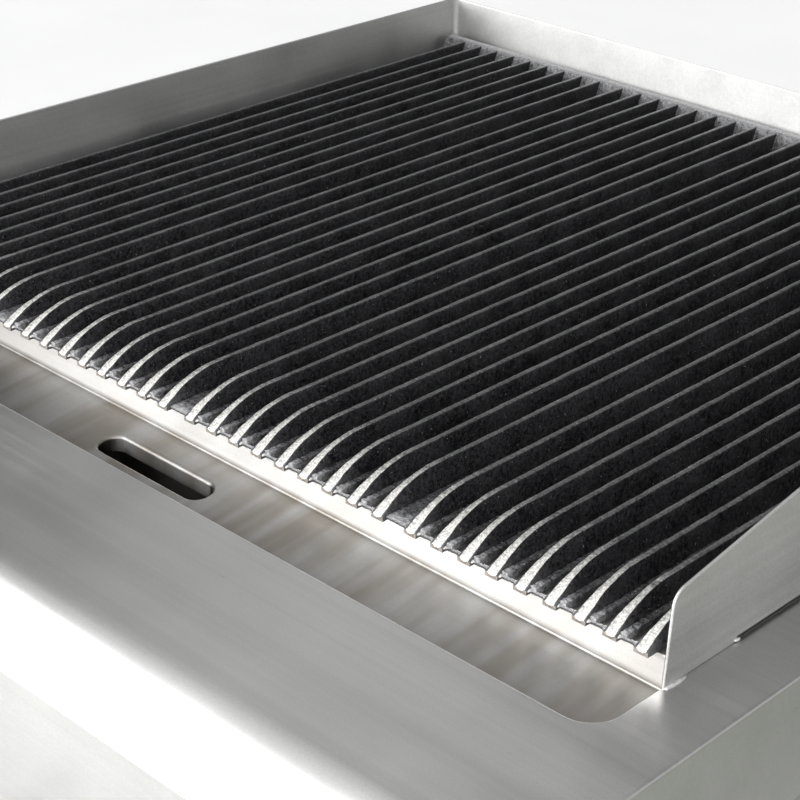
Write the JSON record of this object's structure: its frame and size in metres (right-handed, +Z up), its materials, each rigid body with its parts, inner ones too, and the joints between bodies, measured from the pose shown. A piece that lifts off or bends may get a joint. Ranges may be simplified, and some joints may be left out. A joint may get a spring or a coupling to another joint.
{
  "type": "flat top griddle",
  "caption": "Countertop grill with ribbed cast-iron grates, pressed steel worktop with grease trough, three-sided splash guard, gas taps and grease drawer.",
  "frame": {"origin": "centre of the footprint, on the counter surface under the feet", "axes": "+Z up, -Y towards the cook (apron and knobs), +X to the cook's right"},
  "size_m": [0.6, 0.632, 0.3328],
  "materials": {
    "worktop_steel": "brushed",
    "trough_steel": "satin",
    "guard_steel": "brushed",
    "fire_steel": "heat dulled",
    "burner_steel": "satin",
    "grate_iron": "as cast, worn edges",
    "jet_brass": "machined",
    "valve_brass": "machined",
    "ceramic": "glazed ceramic",
    "pipe_steel": "drawn",
    "knob_plastic": "fine grain",
    "trim_chrome": "polished",
    "button_plastic": "gloss",
    "inner_steel": "mill",
    "drawer_steel": "brushed",
    "panel_steel": "brushed",
    "handle_steel": "polished",
    "leg_steel": "turned",
    "screw_steel": "bright",
    "foot_plastic": "moulded"
  },
  "bodies": {
    "unit": {"back_panel": "panel_steel", "back_screws": "screw_steel", "base_pan": "inner_steel", "burner_cradles": "burner_steel", "burner_left": "burner_steel", "burner_right": "burner_steel", "control_panel": "panel_steel", "drain_chute": "inner_steel", "drawer_rail_left": "inner_steel", "drawer_rail_right": "inner_steel", "electrodes": "ceramic", "firebox_back": "fire_steel", "firebox_front": "fire_steel", "firebox_left": "fire_steel", "firebox_right": "fire_steel", "foot_sleeves": "leg_steel", "gas_inlet": "pipe_steel", "gas_pipe": "pipe_steel", "gas_valve_left": "valve_brass", "gas_valve_right": "valve_brass", "igniter_body": "trim_chrome", "injectors": "jet_brass", "knob_bezels": "trim_chrome", "panel_screws": "screw_steel", "radiant_left": "fire_steel", "radiant_right": "fire_steel", "rear_rail": "fire_steel", "side_panel_left": "panel_steel", "side_panel_right": "panel_steel", "side_screws": "screw_steel", "splash_guard": "guard_steel", "trough": "trough_steel", "worktop": "worktop_steel"},
    "drawer": {"drawer_pan": "drawer_steel", "drawer_front": "panel_steel", "drawer_handle": "handle_steel"},
    "stem_left": {"valve_stem_left": "valve_brass"},
    "stem_right": {"valve_stem_right": "valve_brass"},
    "knob_left": {"knob_left": "knob_plastic"},
    "knob_right": {"knob_right": "knob_plastic"},
    "igniter_button": {"igniter_button": "button_plastic"},
    "grate_1": {"grate_1": "grate_iron"},
    "grate_2": {"grate_2": "grate_iron"},
    "grate_3": {"grate_3": "grate_iron"},
    "grate_4": {"grate_4": "grate_iron"},
    "foot_front_left": {"foot_front_left": "foot_plastic"},
    "foot_front_right": {"foot_front_right": "foot_plastic"},
    "foot_back_left": {"foot_back_left": "foot_plastic"},
    "foot_back_right": {"foot_back_right": "foot_plastic"}
  },
  "joints": [
    {"name": "drawer_slide", "type": "slide", "parent": "unit", "child": "drawer", "axis": [0, -1, 0], "range_m": [0, 0.3]},
    {"name": "grate_1_lift", "type": "slide", "parent": "unit", "child": "grate_1", "axis": [0, 0, 1], "range_m": [0, 0.15]},
    {"name": "grate_2_lift", "type": "slide", "parent": "unit", "child": "grate_2", "axis": [0, 0, 1], "range_m": [0, 0.15]},
    {"name": "grate_3_lift", "type": "slide", "parent": "unit", "child": "grate_3", "axis": [0, 0, 1], "range_m": [0, 0.15]},
    {"name": "grate_4_lift", "type": "slide", "parent": "unit", "child": "grate_4", "axis": [0, 0, 1], "range_m": [0, 0.15]},
    {"name": "tap_left_push", "type": "slide", "parent": "unit", "child": "stem_left", "axis": [0, 1, 0], "range_m": [0, 0.004], "stiffness_N_per_m": 900, "springref_m": -0.002},
    {"name": "tap_left_turn", "type": "hinge", "parent": "stem_left", "child": "knob_left", "pos_m": [-0.1324, -0.27, 0.178], "axis": [0, -1, 0], "range_deg": [0, 210]},
    {"name": "tap_right_push", "type": "slide", "parent": "unit", "child": "stem_right", "axis": [0, 1, 0], "range_m": [0, 0.004], "stiffness_N_per_m": 900, "springref_m": -0.002},
    {"name": "tap_right_turn", "type": "hinge", "parent": "stem_right", "child": "knob_right", "pos_m": [0.1324, -0.27, 0.178], "axis": [0, -1, 0], "range_deg": [0, 210]},
    {"name": "igniter_push", "type": "slide", "parent": "unit", "child": "igniter_button", "axis": [0, 1, 0], "range_m": [0, 0.006], "stiffness_N_per_m": 500, "springref_m": -0.002},
    {"name": "foot_front_left_adjust", "type": "slide", "parent": "unit", "child": "foot_front_left", "axis": [0, 0, -1], "range_m": [0, 0.02]},
    {"name": "foot_front_right_adjust", "type": "slide", "parent": "unit", "child": "foot_front_right", "axis": [0, 0, -1], "range_m": [0, 0.02]},
    {"name": "foot_back_left_adjust", "type": "slide", "parent": "unit", "child": "foot_back_left", "axis": [0, 0, -1], "range_m": [0, 0.02]},
    {"name": "foot_back_right_adjust", "type": "slide", "parent": "unit", "child": "foot_back_right", "axis": [0, 0, -1], "range_m": [0, 0.02]}
  ]
}
